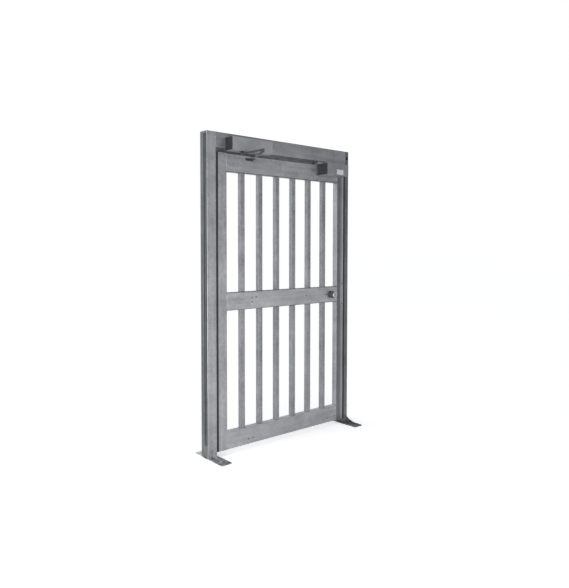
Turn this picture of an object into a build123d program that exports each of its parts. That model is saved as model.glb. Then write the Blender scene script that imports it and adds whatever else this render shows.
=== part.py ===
"""Galvanised steel pedestrian gate: portal frame on two floor plates, barred leaf on four hinges,
overhead closer with a folding arm, electromagnetic lock and a turn knob that throws a bolt.

Millimetres, +Z up. X runs along the gate from the hinge post to the latch post, and the side with the
closer faces -Y. The origin is on the floor, under the middle of the hinge post.
"""
from build123d import *
import os
from math import cos, hypot, pi, sin

# ---- overall sizes --------------------------------------------------------------------------------
overall_width = 1350.0
overall_height = 2200.0

# ---- portal frame ---------------------------------------------------------------------------------
post_width = 75.0
latch_post_width = 40.0
post_depth = 80.0
post_wall = 3.0
post_corner = 5.0
header_height = 108.0
cap_thickness = 4.0
vent_radius = 12.0
vent_drop = 54.0

groove_width = 34.0
groove_depth = 8.0
groove_rib = 9.0
groove_rib_drop = 2.0
groove_from_front = 4.0
groove_foot = 90.0
groove_top_drop = 12.0

plate_width = 80.0
plate_thickness = 8.0
plate_front_reach = 165.0
plate_rear_reach = 85.0
plate_corner = 4.0
anchor_radius = 6.0
anchor_spacing_x = 48.0
anchor_spacing_y = 270.0
gusset_thickness = 8.0
gusset_height = 50.0
gusset_length = 112.0
gusset_toe = 6.0
gusset_hollow = 10.0

lath_height = 17.0
lath_depth = 12.0
lath_gap = 4.0
latch_seal_thickness = 9.0
hinge_seal_thickness = 10.0
seal_depth = 6.0
seal_setback = 1.5

# ---- leaf -----------------------------------------------------------------------------------------
hinge_gap = 13.0
latch_gap = 15.0
head_gap = 25.0
floor_gap = 34.0
leaf_depth = 50.0
leaf_wall = 2.5
leaf_corner = 4.0
stile_width = 72.0
rail_height = 124.0
bottom_rail_height = 122.0
mid_rail_middle = 1058.0
bar_count = 6
bar_size = 35.0
bar_wall = 2.0
bar_corner = 3.0
rail_hole_radius = 4.5
spare_hole_offsets = ((214.0, 19.0), (251.0, 19.0), (214.0, -11.0), (734.0, 6.0), (938.0, 3.0))
drain_hole_left = (180.0, 225.0)
drain_hole_right = (103.0, 22.0)
drain_hole_rise = 38.0

# ---- hinges ---------------------------------------------------------------------------------------
hinge_count = 4
hinge_height = 120.0
hinge_from_bottom = 216.0
hinge_from_top = 203.0
hinge_plate = 3.5
hinge_plate_depth = 32.0
knuckle_radius = 6.0
knuckle_clearance = 0.3
hinge_pin_radius = 3.5
hinge_pin_clearance = 0.05
hinge_pin_head = 5.0
hinge_behind_leaf = 7.0

# ---- overhead closer ------------------------------------------------------------------------------
closer_left = 112.0
closer_length = 344.0
closer_depth = 85.0
closer_height = 90.0
closer_head_gap = 12.0
cover_wall = 2.0
end_cap_length = 7.0
back_plate = 4.0
body_length = 300.0
body_depth = 62.0
body_height = 60.0
body_clearance = 0.5
body_corner = 8.0
spindle_from_end = 98.0
spindle_out = 56.0
spindle_radius = 8.0
spindle_clearance = 0.05
spindle_tail = 2.0
pinion_radius = 9.0
pinion_height = 28.0
piston_radius = 18.0
piston_clearance = 0.05
piston_length = 92.0
piston_window = 52.0
piston_stroke = 26.0
piston_chamfer = 1.0
bore_floor = 10.0
spring_wire = 4.0
spring_gap = 1.0
arm_width = 24.0
arm_thickness = 8.0
arm_drop = 10.0
arm_gap = 5.0
hub_radius = 15.0
hub_step = 1.5
arm_screw_radius = 12.0
arm_screw_head = 3.0
arm_screw_socket = 4.0
main_arm_reach_x = 2.0
main_arm_reach_y = 226.0
shoe_from_elbow_x = 124.0
pivot_out = 22.0
elbow_pin_radius = 5.0
arm_pin_clearance = 0.05
elbow_tail = 1.0
elbow_head = 3.5
elbow_head_radius = 9.0
elbow_spacer_radius = 8.0
fork_end = 11.0
rod_radius = 5.5
rod_inset = 0.5
rod_clearance = 0.2
rod_end_gap = 2.0
rod_eye_radius = 10.0
sleeve_radius = 8.0
sleeve_share = 0.46
sleeve_socket = 40.0
pivot_nut_radius = 6.5
pivot_nut_height = 3.5
open_pivot_gap = 0.5
shoe_length = 66.0
shoe_height = 18.0
shoe_plate = 5.0
shoe_corner = 4.0
shoe_boss_radius = 9.0
shoe_boss_height = 9.0

# ---- electromagnetic lock -------------------------------------------------------------------------
lock_from_latch = 75.0
lock_length = 225.0
lock_height = 87.0
lock_reach = 124.0
lock_wall = 2.0
lock_end_thickness = 6.0
armature_thickness = 12.5
armature_length = 185.0
armature_height = 58.0
armature_corner = 3.0
armature_bolt_radius = 4.0
armature_bolt_tail = 2.0
armature_head_depth = 6.0
armature_head_sink = 1.0
magnet_face_gap = 0.5
core_length = 205.0
core_height = 70.0
core_depth = 36.0
coil_slot = 9.0
coil_slot_depth = 24.0
coil_clearance = 0.3
coil_end_gap = 1.0
bracket_plate = 5.0
bracket_gap = 3.0
bracket_overlap = 36.0
bracket_inset = 14.0
spacer_length = 50.0
gland_radius = 8.0
gland_length = 9.0
label_length = 70.0
label_height = 38.0
label_thickness = 0.8
label_right_inset = 57.0
label_rise = 7.0

# ---- knob and bolt --------------------------------------------------------------------------------
knob_from_latch = 145.0
knob_radius = 27.0
knob_face_radius = 23.0
knob_reach = 58.0
knob_back_bevel = 5.0
knob_grip_depth = 24.0
knob_waist_depth = 12.0
knob_face_edge = 2.5
knob_slot_length = 20.0
knob_slot_width = 5.0
knob_slot_depth = 3.0
knob_socket_depth = 8.0
rosette_radius = 28.0
rosette_thickness = 5.0
rosette_chamfer = 1.5
knob_gap = 0.5
shaft_radius = 4.0
shaft_clearance = 0.05
case_length = 96.0
case_height = 62.0
case_wall = 2.0
case_space = 2.5
crank_radius = 17.7
crank_thickness = 4.0
crank_pin_radius = 2.0
crank_pin_clearance = 0.8
crank_boss_wall = 2.0
crank_pin_short = 1.0
shaft_end_gap = 1.0
bolt_width = 16.0
bolt_height = 20.0
bolt_throw = 25.0
bolt_clearance = 0.4
bolt_tail = 4.0
bolt_tail_margin = 5.0
bolt_tail_rise = 6.0
bolt_shaft_gap = 0.6
bolt_end_gap = 3.0
guard_width = 28.0
guard_height = 176.0
guard_thickness = 2.0
guard_edge = 3.0
guard_corner = 2.0
guard_screw_spacing = 168.0
strike_height = 70.0
strike_width = 24.0
strike_thickness = 3.0
bolt_hole_margin = 1.5
screw_head_radius = 5.0
screw_head_height = 2.5
screw_socket_radius = 1.8

# ---- places worked out from the sizes -------------------------------------------------------------
front = -post_depth / 2
rear = post_depth / 2
left_edge = -post_width / 2
right_edge = left_edge + overall_width
latch_post_face = right_edge - latch_post_width
header_bottom = overall_height - header_height
post_top = overall_height - cap_thickness

leaf_left = post_width / 2 + hinge_gap
leaf_right = latch_post_face - latch_gap
leaf_front = front
leaf_rear = leaf_front + leaf_depth
leaf_middle_y = (leaf_front + leaf_rear) / 2
leaf_bottom = floor_gap
leaf_top = header_bottom - head_gap
rail_left = leaf_left + stile_width
rail_right = leaf_right - stile_width
bottom_rail_top = leaf_bottom + bottom_rail_height
mid_rail_bottom = mid_rail_middle - rail_height / 2
mid_rail_top = mid_rail_middle + rail_height / 2
top_rail_bottom = leaf_top - rail_height

hinge_x = post_width / 2 + hinge_gap / 2
hinge_y = leaf_rear + hinge_behind_leaf
hinge_lowest = leaf_bottom + hinge_from_bottom
hinge_pitch = (leaf_top - hinge_from_top - hinge_lowest) / (hinge_count - 1)

closer_right = closer_left + closer_length
closer_front = front - closer_depth
closer_bottom = header_bottom - closer_head_gap
closer_top = closer_bottom + closer_height
closer_middle_z = (closer_bottom + closer_top) / 2
spindle_x = closer_left + spindle_from_end
spindle_y = front - spindle_out
arm_top = closer_bottom - arm_drop
arm_bottom = arm_top - arm_thickness
forearm_top = arm_bottom - arm_gap
forearm_bottom = forearm_top - arm_thickness
elbow_x = spindle_x + main_arm_reach_x
elbow_y = spindle_y - main_arm_reach_y
pivot_x = elbow_x + shoe_from_elbow_x
pivot_y = leaf_front - pivot_out

lock_right = leaf_right - lock_from_latch
lock_left = lock_right - lock_length
lock_middle_x = (lock_left + lock_right) / 2
lock_front = front - lock_reach
armature_front = leaf_front - armature_thickness
lock_rear = armature_front - magnet_face_gap
bracket_bottom = leaf_top + bracket_gap
bracket_top = bracket_bottom + bracket_plate
lock_top = bracket_bottom
lock_bottom = lock_top - lock_height
lock_middle_z = (lock_bottom + lock_top) / 2

knob_x = leaf_right - knob_from_latch
bolt_y = leaf_middle_y


def keep(piece, name):
    """Label one finished piece and write it."""
    piece.label = name
    export_step(piece, f"parts/{name}.step")


def block(x0, x1, y0, y1, z0, z1):
    """Solid block between two corners."""
    with BuildPart() as piece:
        with BuildSketch(Plane.XY.offset(z0)):
            with Locations(((x0 + x1) / 2, (y0 + y1) / 2)):
                Rectangle(x1 - x0, y1 - y0)
        extrude(amount=z1 - z0)
    return piece.part


def upright_tube(x0, x1, y0, y1, z0, z1, wall, corner):
    """Rectangular hollow section that stands upright."""
    with BuildPart() as piece:
        with BuildSketch(Plane.XY.offset(z0)):
            with Locations(((x0 + x1) / 2, (y0 + y1) / 2)):
                RectangleRounded(x1 - x0, y1 - y0, corner)
                RectangleRounded(x1 - x0 - 2 * wall, y1 - y0 - 2 * wall, corner - wall / 2,
                                 mode=Mode.SUBTRACT)
        extrude(amount=z1 - z0)
    return piece.part


def level_tube(x0, x1, y0, y1, z0, z1, wall, corner):
    """Rectangular hollow section that lies along X."""
    with BuildPart() as piece:
        with BuildSketch(Plane.YZ.offset(x0)):
            with Locations(((y0 + y1) / 2, (z0 + z1) / 2)):
                RectangleRounded(y1 - y0, z1 - z0, corner)
                RectangleRounded(y1 - y0 - 2 * wall, z1 - z0 - 2 * wall, corner - wall / 2,
                                 mode=Mode.SUBTRACT)
        extrude(amount=x1 - x0)
    return piece.part


def front_plane(y):
    """Sketch plane at depth y: its own x runs along X, its own y runs up, and it faces -Y."""
    return Plane(origin=(0, y, 0), x_dir=(1, 0, 0), z_dir=(0, -1, 0))


def rear_plane(y):
    """Sketch plane at depth y whose extrusions grow towards +Y; its own y runs up, its x along -X."""
    return Plane(origin=(0, y, 0), x_dir=(-1, 0, 0), z_dir=(0, 1, 0))


os.makedirs("parts", exist_ok=True)

# ---- posts, header, caps --------------------------------------------------------------------------
groove_y = front + groove_from_front + groove_width / 2
with BuildPart() as left_post:
    with BuildSketch(Plane.XY.offset(plate_thickness)):
        RectangleRounded(post_width, post_depth, post_corner)
        RectangleRounded(post_width - 2 * post_wall, post_depth - 2 * post_wall,
                         post_corner - post_wall / 2, mode=Mode.SUBTRACT)
        with Locations((left_edge + (groove_depth + post_wall) / 2 + post_wall / 2, groove_y)):
            Rectangle(groove_depth, groove_width + 2 * post_wall)
    extrude(amount=post_top - plate_thickness)
    with BuildSketch(Plane.XY.offset(groove_foot)):
        with Locations((left_edge + groove_depth / 2, groove_y)):
            Rectangle(groove_depth, groove_width)
            Rectangle(groove_depth - 2 * groove_rib_drop, groove_rib, mode=Mode.SUBTRACT)
        with Locations((left_edge + groove_depth - groove_rib_drop / 2, groove_y)):
            Rectangle(groove_rib_drop, groove_rib, mode=Mode.SUBTRACT)
    extrude(amount=post_top - groove_top_drop - groove_foot, mode=Mode.SUBTRACT)
keep(left_post.part, "left_post")

with BuildPart() as right_post:
    add(upright_tube(latch_post_face, right_edge, front, rear, plate_thickness, post_top,
                     post_wall, post_corner))
    with BuildSketch(front_plane(front)):
        with Locations((right_edge - latch_post_width / 2, overall_height - vent_drop)):
            Circle(vent_radius)
    extrude(amount=-2 * post_wall, mode=Mode.SUBTRACT)
    with BuildSketch(Plane.YZ.offset(latch_post_face)):
        with Locations((bolt_y, mid_rail_middle)):
            Rectangle(bolt_width + 2 * bolt_hole_margin, bolt_height + 2 * bolt_hole_margin)
    extrude(amount=2 * post_wall, mode=Mode.SUBTRACT)
keep(right_post.part, "right_post")

keep(level_tube(post_width / 2, latch_post_face, front, rear, header_bottom, overall_height,
                post_wall, post_corner), "header")

with BuildPart() as post_caps:
    with BuildSketch(Plane.XY.offset(post_top)):
        RectangleRounded(post_width, post_depth, post_corner)
        with Locations((right_edge - latch_post_width / 2, 0)):
            RectangleRounded(latch_post_width, post_depth, post_corner)
    extrude(amount=cap_thickness)
keep(post_caps.part, "post_caps")

# ---- base plates and gussets ----------------------------------------------------------------------
plate_front = front - plate_front_reach
plate_rear = rear + plate_rear_reach
plate_middle_y = (plate_front + plate_rear) / 2
left_plate_x = left_edge + plate_width / 2
right_plate_x = right_edge - plate_width / 2


def base_plate(middle_x):
    """Floor plate with four anchor holes."""
    with BuildPart() as piece:
        with BuildSketch():
            with Locations((middle_x, plate_middle_y)):
                RectangleRounded(plate_width, plate_rear - plate_front, plate_corner)
                with GridLocations(anchor_spacing_x, anchor_spacing_y, 2, 2):
                    Circle(anchor_radius, mode=Mode.SUBTRACT)
        extrude(amount=plate_thickness)
    return piece.part


def gusset(middle_x):
    """Rib between the front of a post and its plate, with a hollow-curved upper edge."""
    rib_top = plate_thickness + gusset_height
    toe_top = plate_thickness + gusset_toe
    toe_y = front - gusset_length
    hollow = ((front + toe_y) / 2, (rib_top + toe_top) / 2 - gusset_hollow)
    with BuildPart() as piece:
        with BuildSketch(Plane.YZ.offset(middle_x - gusset_thickness / 2)):
            with BuildLine():
                Line((toe_y, plate_thickness), (front, plate_thickness))
                Line((front, plate_thickness), (front, rib_top))
                ThreePointArc((front, rib_top), hollow, (toe_y, toe_top))
                Line((toe_y, toe_top), (toe_y, plate_thickness))
            make_face()
        extrude(amount=gusset_thickness)
    return piece.part


keep(base_plate(left_plate_x), "left_base_plate")
keep(base_plate(right_plate_x), "right_base_plate")
keep(gusset(0), "left_gusset")
keep(gusset(right_edge - latch_post_width / 2), "right_gusset")

# ---- lath above the leaf and rubber strips in the gaps beside it -----------------------------------
lath_front = leaf_rear + lath_gap
keep(block(post_width / 2, latch_post_face, lath_front, lath_front + lath_depth,
           header_bottom - lath_height, header_bottom), "header_lath")
seal_front = front + seal_setback
keep(block(latch_post_face - latch_seal_thickness, latch_post_face, seal_front,
           seal_front + seal_depth, leaf_bottom, leaf_top), "latch_seal")
keep(block(post_width / 2, post_width / 2 + hinge_seal_thickness, seal_front,
           seal_front + seal_depth, leaf_bottom, leaf_top), "hinge_seal")

# ---- leaf frame and bars --------------------------------------------------------------------------
keep(upright_tube(leaf_left, rail_left, leaf_front, leaf_rear, leaf_bottom, leaf_top,
                  leaf_wall, leaf_corner), "hinge_stile")

with BuildPart() as latch_stile:
    add(upright_tube(rail_right, leaf_right, leaf_front, leaf_rear, leaf_bottom, leaf_top,
                     leaf_wall, leaf_corner))
    with BuildSketch(Plane.YZ.offset(rail_right)):
        with Locations((bolt_y, mid_rail_middle)):
            Rectangle(bolt_width + 2 * bolt_clearance, bolt_height + 2 * bolt_clearance)
    extrude(amount=stile_width, mode=Mode.SUBTRACT)
keep(latch_stile.part, "latch_stile")

with BuildPart() as top_rail:
    add(level_tube(rail_left, rail_right, leaf_front, leaf_rear, top_rail_bottom, leaf_top,
                   leaf_wall, leaf_corner))
    with BuildSketch(front_plane(leaf_front)):
        with Locations((lock_middle_x, lock_middle_z)):
            Circle(armature_bolt_radius + bolt_clearance)
    extrude(amount=-leaf_depth, mode=Mode.SUBTRACT)
keep(top_rail.part, "top_rail")

spare_holes = [(rail_left + x, mid_rail_middle + z) for x, z in spare_hole_offsets]
drain_holes = [(rail_left + x, leaf_bottom + drain_hole_rise) for x in drain_hole_left]
drain_holes += [(rail_right - x, leaf_bottom + drain_hole_rise) for x in drain_hole_right]
with BuildPart() as mid_rail:
    add(level_tube(rail_left, rail_right, leaf_front, leaf_rear, mid_rail_bottom, mid_rail_top,
                   leaf_wall, leaf_corner))
    with BuildSketch(front_plane(leaf_front)):
        with Locations((knob_x, mid_rail_middle)):
            Circle(shaft_radius + bolt_clearance)
    extrude(amount=-2 * leaf_wall, mode=Mode.SUBTRACT)
    with BuildSketch(front_plane(leaf_front)):
        with Locations(*spare_holes):
            Circle(rail_hole_radius)
    extrude(amount=-2 * leaf_wall, mode=Mode.SUBTRACT)
keep(mid_rail.part, "mid_rail")

with BuildPart() as bottom_rail:
    add(level_tube(rail_left, rail_right, leaf_front, leaf_rear, leaf_bottom, bottom_rail_top,
                   leaf_wall, leaf_corner))
    with BuildSketch(front_plane(leaf_front)):
        with Locations(*drain_holes):
            Circle(rail_hole_radius)
    extrude(amount=-2 * leaf_wall, mode=Mode.SUBTRACT)
keep(bottom_rail.part, "bottom_rail")

bar_space = (rail_right - rail_left - bar_count * bar_size) / (bar_count + 1)
for number in range(bar_count):
    bar_left = rail_left + bar_space + number * (bar_space + bar_size)
    with BuildPart() as bar:
        for z0, z1 in ((bottom_rail_top, mid_rail_bottom), (mid_rail_top, top_rail_bottom)):
            add(upright_tube(bar_left, bar_left + bar_size, leaf_middle_y - bar_size / 2,
                             leaf_middle_y + bar_size / 2, z0, z1, bar_wall, bar_corner))
    keep(bar.part, f"bar_{number + 1}")

# ---- hinges ---------------------------------------------------------------------------------------
knuckle_height = hinge_height / 3


def hinge_half(z0, side):
    """Plate with its knuckles: side -1 is on the post with two knuckles, +1 is on the leaf with one."""
    if side < 0:
        x0, x1 = post_width / 2, post_width / 2 + hinge_plate
        knuckles = ((0, knuckle_height - knuckle_clearance),
                    (2 * knuckle_height + knuckle_clearance, hinge_height))
    else:
        x0, x1 = leaf_left - hinge_plate, leaf_left
        knuckles = ((knuckle_height, 2 * knuckle_height),)
    with BuildPart() as piece:
        with BuildSketch(Plane.XY.offset(z0)):
            with Locations(((x0 + x1) / 2, leaf_rear - hinge_plate_depth / 2)):
                Rectangle(x1 - x0, hinge_plate_depth)
        extrude(amount=hinge_height)
        for low, high in knuckles:
            with BuildSketch(Plane.XY.offset(z0 + low)):
                with Locations(((x0 + x1) / 2, (leaf_rear + hinge_y) / 2)):
                    Rectangle(x1 - x0, hinge_y - leaf_rear)
                with Locations((hinge_x, hinge_y)):
                    Circle(knuckle_radius)
                    Circle(hinge_pin_radius + hinge_pin_clearance, mode=Mode.SUBTRACT)
            extrude(amount=high - low)
    return piece.part


hinge_bottoms = [hinge_lowest - hinge_height / 2 + i * hinge_pitch for i in range(hinge_count)]
for number, z0 in enumerate(hinge_bottoms, start=1):
    keep(hinge_half(z0, -1), f"hinge_{number}_post_half")
    keep(hinge_half(z0, 1), f"hinge_{number}_leaf_half")

with BuildPart() as hinge_pins:
    for z0 in hinge_bottoms:
        with BuildSketch(Plane.XY.offset(z0)):
            with Locations((hinge_x, hinge_y)):
                Circle(hinge_pin_radius)
        extrude(amount=hinge_height)
        with BuildSketch(Plane.XY.offset(z0 + hinge_height)):
            with Locations((hinge_x, hinge_y)):
                Circle(knuckle_radius - hinge_pin_clearance)
        extrude(amount=hinge_pin_head, taper=25)
keep(hinge_pins.part, "hinge_pins")

# ---- closer: back plate, body, piston, spring, cover, end caps ------------------------------------
body_left = closer_left + (closer_length - body_length) / 2
body_right = body_left + body_length
body_rear = front - back_plate
body_front = body_rear - body_depth
body_bottom = closer_middle_z - body_height / 2
body_top = closer_middle_z + body_height / 2
piston_y = spindle_y
piston_z = closer_middle_z
piston_end = (piston_length - piston_window) / 2
piston_left = spindle_x + pinion_radius + body_clearance - piston_window - piston_end

keep(block(closer_left + end_cap_length, closer_right - end_cap_length, body_rear, front,
           header_bottom + 2 * cover_wall, closer_top - 2 * cover_wall), "closer_back_plate")

with BuildPart() as closer_body:
    with BuildSketch(Plane.YZ.offset(body_left)):
        with Locations(((body_front + body_rear) / 2, closer_middle_z)):
            Rectangle(body_depth, body_height)
    extrude(amount=body_length)
    fillet(closer_body.edges().filter_by(Axis.X).group_by(Axis.Y)[0], radius=body_corner)
    with BuildSketch(Plane.YZ.offset(body_left + bore_floor)):
        with Locations((piston_y, piston_z)):
            Circle(piston_radius + piston_clearance)
    extrude(amount=body_length - 2 * bore_floor, mode=Mode.SUBTRACT)
    with BuildSketch(Plane.XY.offset(body_bottom)):
        with Locations((spindle_x, spindle_y)):
            Circle(spindle_radius + spindle_clearance)
    extrude(amount=body_height - bore_floor / 2, mode=Mode.SUBTRACT)
keep(closer_body.part, "closer_body")

with BuildPart() as closer_piston:
    with BuildSketch(Plane.YZ.offset(piston_left)):
        with Locations((piston_y, piston_z)):
            Circle(piston_radius)
    extrude(amount=piston_length)
    with BuildSketch(Plane.XY.offset(piston_z - piston_radius)):
        with Locations((piston_left + piston_length / 2, piston_y)):
            Rectangle(piston_window, 2 * (pinion_radius + body_clearance))
    extrude(amount=2 * piston_radius, mode=Mode.SUBTRACT)
    chamfer(closer_piston.edges().filter_by(GeomType.CIRCLE).group_by(Axis.X)[0], length=piston_chamfer)
keep(closer_piston.part, "closer_piston")

# The spring is drawn as the sleeve that its coil fills when the leaf stands fully open.
spring_left = piston_left + piston_length + piston_stroke + spring_gap
with BuildPart() as closer_spring:
    with BuildSketch(Plane.YZ.offset(spring_left)):
        with Locations((piston_y, piston_z)):
            Circle(piston_radius - piston_clearance)
            Circle(piston_radius - piston_clearance - spring_wire, mode=Mode.SUBTRACT)
    extrude(amount=body_right - bore_floor - spring_left)
keep(closer_spring.part, "closer_spring")

spindle_bottom = arm_bottom - spindle_tail
spindle_top = body_top - bore_floor / 2 - body_clearance
with BuildPart() as closer_spindle:
    with BuildSketch(Plane.XY.offset(spindle_bottom)):
        with Locations((spindle_x, spindle_y)):
            Circle(spindle_radius)
    extrude(amount=spindle_top - spindle_bottom)
    with BuildSketch(Plane.XY.offset(piston_z - pinion_height / 2)):
        with Locations((spindle_x, spindle_y)):
            Circle(pinion_radius)
    extrude(amount=pinion_height)
keep(closer_spindle.part, "closer_spindle")

with BuildPart() as closer_cover:
    with BuildSketch(Plane.YZ.offset(closer_left)):
        with Locations(((closer_front + front) / 2, closer_middle_z)):
            Rectangle(closer_depth, closer_height)
        with Locations(((closer_front + front) / 2 + cover_wall / 2, closer_middle_z)):
            Rectangle(closer_depth - cover_wall, closer_height - 2 * cover_wall, mode=Mode.SUBTRACT)
    extrude(amount=closer_length)
    with BuildSketch(Plane.XY.offset(closer_bottom)):
        with Locations((spindle_x, spindle_y)):
            Circle(hub_radius)
    extrude(amount=cover_wall, mode=Mode.SUBTRACT)
keep(closer_cover.part, "closer_cover")

with BuildPart() as closer_end_caps:
    for x0 in (closer_left, closer_right - end_cap_length):
        with BuildSketch(Plane.YZ.offset(x0)):
            with Locations(((closer_front + front) / 2 + cover_wall / 2, closer_middle_z)):
                Rectangle(closer_depth - cover_wall, closer_height - 2 * cover_wall)
        extrude(amount=end_cap_length)
keep(closer_end_caps.part, "closer_end_caps")


# ---- closer arms ----------------------------------------------------------------------------------
def arm_plane(x, y, z, toward_x, toward_y):
    """Level sketch plane at (x, y, z) whose own x axis points at (toward_x, toward_y)."""
    return Plane(origin=(x, y, z), x_dir=(toward_x - x, toward_y - y, 0), z_dir=(0, 0, 1))


main_arm_length = hypot(elbow_x - spindle_x, elbow_y - spindle_y)
with BuildPart() as main_arm:
    with BuildSketch(arm_plane(spindle_x, spindle_y, arm_bottom, elbow_x, elbow_y)):
        with BuildLine():
            Polyline((0, -arm_width / 2), (main_arm_length, -fork_end), (main_arm_length, fork_end),
                     (0, arm_width / 2), close=True)
        make_face()
        Circle(hub_radius)
        with Locations((main_arm_length, 0)):
            Circle(fork_end)
            Circle(elbow_pin_radius + arm_pin_clearance, mode=Mode.SUBTRACT)
        Circle(spindle_radius, mode=Mode.SUBTRACT)
    extrude(amount=arm_thickness)
    with BuildSketch(Plane.XY.offset(arm_top)):
        with Locations((spindle_x, spindle_y)):
            Circle(hub_radius - hub_step)
            Circle(spindle_radius, mode=Mode.SUBTRACT)
    extrude(amount=arm_drop + cover_wall)
keep(main_arm.part, "main_arm")

with BuildPart() as arm_screw:
    with BuildSketch(Plane.XY.offset(spindle_bottom)):
        with Locations((spindle_x, spindle_y)):
            Circle(arm_screw_radius)
    extrude(amount=-arm_screw_head)
    with BuildSketch(Plane.XY.offset(spindle_bottom - arm_screw_head)):
        with Locations((spindle_x, spindle_y)):
            RegularPolygon(arm_screw_socket, 6)
    extrude(amount=arm_screw_head, mode=Mode.SUBTRACT)
keep(arm_screw.part, "arm_screw")

with BuildPart() as elbow_pin:
    with BuildSketch(Plane.XY.offset(forearm_bottom - elbow_tail)):
        with Locations((elbow_x, elbow_y)):
            Circle(elbow_pin_radius)
    extrude(amount=arm_top - forearm_bottom + elbow_tail)
    with BuildSketch(Plane.XY.offset(arm_top)):
        with Locations((elbow_x, elbow_y)):
            Circle(elbow_head_radius)
    extrude(amount=elbow_head, taper=15)
    with BuildSketch(Plane.XY.offset(forearm_top + knuckle_clearance)):
        with Locations((elbow_x, elbow_y)):
            Circle(elbow_spacer_radius)
    extrude(amount=arm_bottom - forearm_top - knuckle_clearance)
keep(elbow_pin.part, "elbow_pin")

forearm_length = hypot(pivot_x - elbow_x, pivot_y - elbow_y)
sleeve_end = sleeve_share * forearm_length
with BuildPart() as forearm_sleeve:
    with BuildSketch(arm_plane(elbow_x, elbow_y, forearm_bottom, pivot_x, pivot_y)):
        Circle(fork_end)
        with Locations((sleeve_end / 2, 0)):
            Rectangle(sleeve_end, 2 * sleeve_radius)
        Circle(elbow_pin_radius + arm_pin_clearance, mode=Mode.SUBTRACT)
        with Locations((sleeve_end - sleeve_socket / 2, 0)):
            Rectangle(sleeve_socket, 2 * (rod_radius + rod_clearance), mode=Mode.SUBTRACT)
    extrude(amount=arm_thickness)
keep(forearm_sleeve.part, "forearm_sleeve")

rod_start = sleeve_end - sleeve_socket + rod_end_gap
with BuildPart() as forearm_rod:
    with BuildSketch(arm_plane(elbow_x, elbow_y, forearm_bottom + rod_inset, pivot_x, pivot_y)):
        with Locations(((rod_start + forearm_length) / 2, 0)):
            Rectangle(forearm_length - rod_start, 2 * rod_radius)
        with Locations((forearm_length, 0)):
            Circle(rod_eye_radius)
    extrude(amount=arm_thickness - 2 * rod_inset)
    with BuildSketch(Plane.XY.offset(forearm_top - rod_inset)):
        with Locations((pivot_x, pivot_y)):
            RegularPolygon(pivot_nut_radius, 6)
    extrude(amount=pivot_nut_height)
keep(forearm_rod.part, "forearm_rod")

shoe_top = forearm_bottom + rod_inset - open_pivot_gap
shoe_middle_z = shoe_top - shoe_height / 2
shoe_left = pivot_x + shoe_boss_radius - shoe_length
with BuildPart() as arm_shoe:
    with BuildSketch(front_plane(leaf_front)) as shoe_face:
        with Locations((shoe_left + shoe_length / 2, shoe_middle_z)):
            RectangleRounded(shoe_length, shoe_height, shoe_corner)
            with Locations((-shoe_length / 4, 0)):
                Circle(screw_head_radius / 2, mode=Mode.SUBTRACT)
    extrude(amount=shoe_plate)
    with BuildSketch(Plane.XY.offset(shoe_top - shoe_boss_height)):
        with Locations((pivot_x, pivot_y)):
            Circle(shoe_boss_radius)
        with Locations((pivot_x, (pivot_y + leaf_front) / 2)):
            Rectangle(2 * shoe_boss_radius, pivot_out)
    extrude(amount=shoe_boss_height)
keep(arm_shoe.part, "arm_shoe")

# ---- electromagnetic lock -------------------------------------------------------------------------
with BuildPart() as lock_bracket:
    with BuildSketch(Plane.XY.offset(bracket_bottom)):
        with Locations((lock_middle_x, (lock_front + bracket_inset + front + bracket_overlap) / 2)):
            Rectangle(lock_length - 2 * bracket_inset,
                      front + bracket_overlap - lock_front - bracket_inset)
    extrude(amount=bracket_plate)
    with BuildSketch(Plane.XY.offset(bracket_top)):
        with Locations((lock_middle_x, front + bracket_overlap / 2)):
            with GridLocations(lock_length - 2 * bracket_inset - spacer_length, 0, 2, 1):
                Rectangle(spacer_length, bracket_overlap)
    extrude(amount=header_bottom - bracket_top)
keep(lock_bracket.part, "lock_bracket")

lock_middle_y = (lock_front + lock_rear) / 2
with BuildPart() as lock_housing:
    with BuildSketch(Plane.YZ.offset(lock_left)):
        with Locations((lock_middle_y, lock_middle_z)):
            Rectangle(lock_rear - lock_front, lock_height)
        with Locations((lock_middle_y + lock_wall / 2, lock_middle_z)):
            Rectangle(lock_rear - lock_front - lock_wall, lock_height - 2 * lock_wall, mode=Mode.SUBTRACT)
    extrude(amount=lock_length)
keep(lock_housing.part, "lock_housing")

gland_y = (lock_front + front) / 2
gland_z = lock_top - 2 * gland_radius
with BuildPart() as lock_end_plates:
    for x0 in (lock_left, lock_right - lock_end_thickness):
        with BuildSketch(Plane.YZ.offset(x0)):
            with Locations((lock_middle_y + lock_wall / 2, lock_middle_z)):
                Rectangle(lock_rear - lock_front - lock_wall, lock_height - 2 * lock_wall)
        extrude(amount=lock_end_thickness)
    with BuildSketch(Plane.YZ.offset(lock_left)):
        with Locations((gland_y, gland_z)):
            RegularPolygon(gland_radius, 6)
    extrude(amount=-gland_length)
    with BuildSketch(Plane.YZ.offset(lock_left - gland_length)):
        with Locations((gland_y, gland_z)):
            Circle(gland_radius / 3)
    extrude(amount=gland_length + lock_end_thickness, mode=Mode.SUBTRACT)
keep(lock_end_plates.part, "lock_end_plates")

slot_offset = core_height / 4
with BuildPart() as magnet_core:
    with BuildSketch(rear_plane(lock_rear - core_depth)):
        with Locations((-lock_middle_x, lock_middle_z)):
            Rectangle(core_length, core_height)
    extrude(amount=core_depth)
    with BuildSketch(rear_plane(lock_rear - coil_slot_depth)):
        for side in (-1, 1):
            with Locations((-lock_middle_x, lock_middle_z + side * slot_offset)):
                Rectangle(core_length, coil_slot)
    extrude(amount=coil_slot_depth, mode=Mode.SUBTRACT)
keep(magnet_core.part, "magnet_core")

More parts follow.
